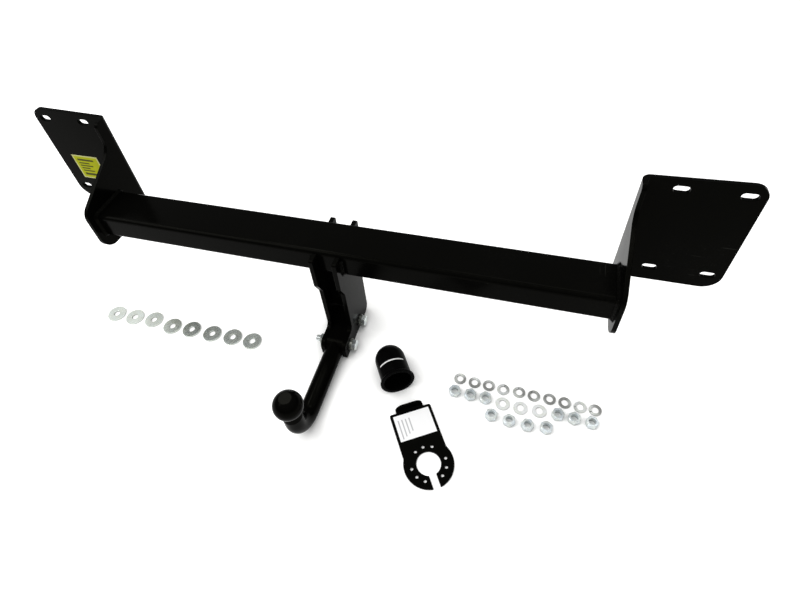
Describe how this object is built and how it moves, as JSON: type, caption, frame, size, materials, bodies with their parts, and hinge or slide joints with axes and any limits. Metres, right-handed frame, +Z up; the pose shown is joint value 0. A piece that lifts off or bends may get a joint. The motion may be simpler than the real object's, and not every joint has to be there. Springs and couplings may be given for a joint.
{
  "type": "towbar",
  "caption": "Towbar of a rectangular crossbar welded between slotted chassis brackets, with a bolted swan neck and ball, and its loose fitting kit laid out below.",
  "frame": {"origin": "centre of the outer slot pattern, on the mounting faces of the flanges", "axes": "+X along the crossbar, +Y towards the vehicle, +Z up"},
  "size_m": [1.273, 0.3923, 0.3703],
  "materials": {
    "black_paint": "gloss black paint on steel",
    "zinc": "bright zinc plated steel",
    "cap_plastic": "black moulded plastic",
    "sticker_sheet": "yellow adhesive sheet",
    "label_sheet": "white adhesive sheet"
  },
  "bodies": {
    "frame": {"crossbar": "black_paint", "left_bracket": "black_paint", "right_bracket": "black_paint", "left_bar_weld": "black_paint", "right_bar_weld": "black_paint", "left_cheek": "black_paint", "right_cheek": "black_paint", "left_cheek_weld": "black_paint", "right_cheek_weld": "black_paint", "neck_web": "black_paint", "swan_neck": "black_paint", "rating_sticker": "sticker_sheet", "front_neck_washer": "zinc", "rear_neck_washer": "zinc", "front_neck_spring_washer": "zinc", "rear_neck_spring_washer": "zinc"},
    "front_bolt": {"front_neck_bolt": "zinc"},
    "rear_bolt": {"rear_neck_bolt": "zinc"},
    "front_nut": {"front_neck_nut": "zinc"},
    "rear_nut": {"rear_neck_nut": "zinc"},
    "ball_cap": {"ball_cap": "cap_plastic"},
    "socket_plate": {"socket_plate": "black_paint", "socket_plate_label": "label_sheet"},
    "body_washers": {"body_washers": "zinc"},
    "kit_spring_washers": {"kit_spring_washers": "zinc"},
    "kit_nuts": {"kit_nuts": "zinc"},
    "kit_plain_washers": {"kit_plain_washers": "zinc"}
  },
  "joints": [
    {"name": "front_bolt_turn", "type": "hinge", "parent": "frame", "child": "front_bolt", "pos_m": [0.03, -0.164, -0.253], "axis": [1, 0, 0], "continuous": true},
    {"name": "rear_bolt_turn", "type": "hinge", "parent": "frame", "child": "rear_bolt", "pos_m": [0.03, -0.104, -0.253], "axis": [1, 0, 0], "continuous": true},
    {"name": "front_nut_turn", "type": "hinge", "parent": "frame", "child": "front_nut", "pos_m": [-0.0302, -0.164, -0.253], "axis": [1, 0, 0], "continuous": true},
    {"name": "rear_nut_turn", "type": "hinge", "parent": "frame", "child": "rear_nut", "pos_m": [-0.0302, -0.104, -0.253], "axis": [1, 0, 0], "continuous": true},
    {"name": "ball_cap_lift", "type": "slide", "parent": "frame", "child": "ball_cap", "axis": [0, 0, 1], "range_m": [0, 0.1]},
    {"name": "socket_plate_lift", "type": "slide", "parent": "frame", "child": "socket_plate", "axis": [0, 0, 1], "range_m": [0, 0.1]},
    {"name": "body_washers_lift", "type": "slide", "parent": "frame", "child": "body_washers", "axis": [0, 0, 1], "range_m": [0, 0.1]},
    {"name": "kit_spring_washers_lift", "type": "slide", "parent": "frame", "child": "kit_spring_washers", "axis": [0, 0, 1], "range_m": [0, 0.1]},
    {"name": "kit_nuts_lift", "type": "slide", "parent": "frame", "child": "kit_nuts", "axis": [0, 0, 1], "range_m": [0, 0.1]},
    {"name": "kit_plain_washers_lift", "type": "slide", "parent": "frame", "child": "kit_plain_washers", "axis": [0, 0, 1], "range_m": [0, 0.1]}
  ]
}
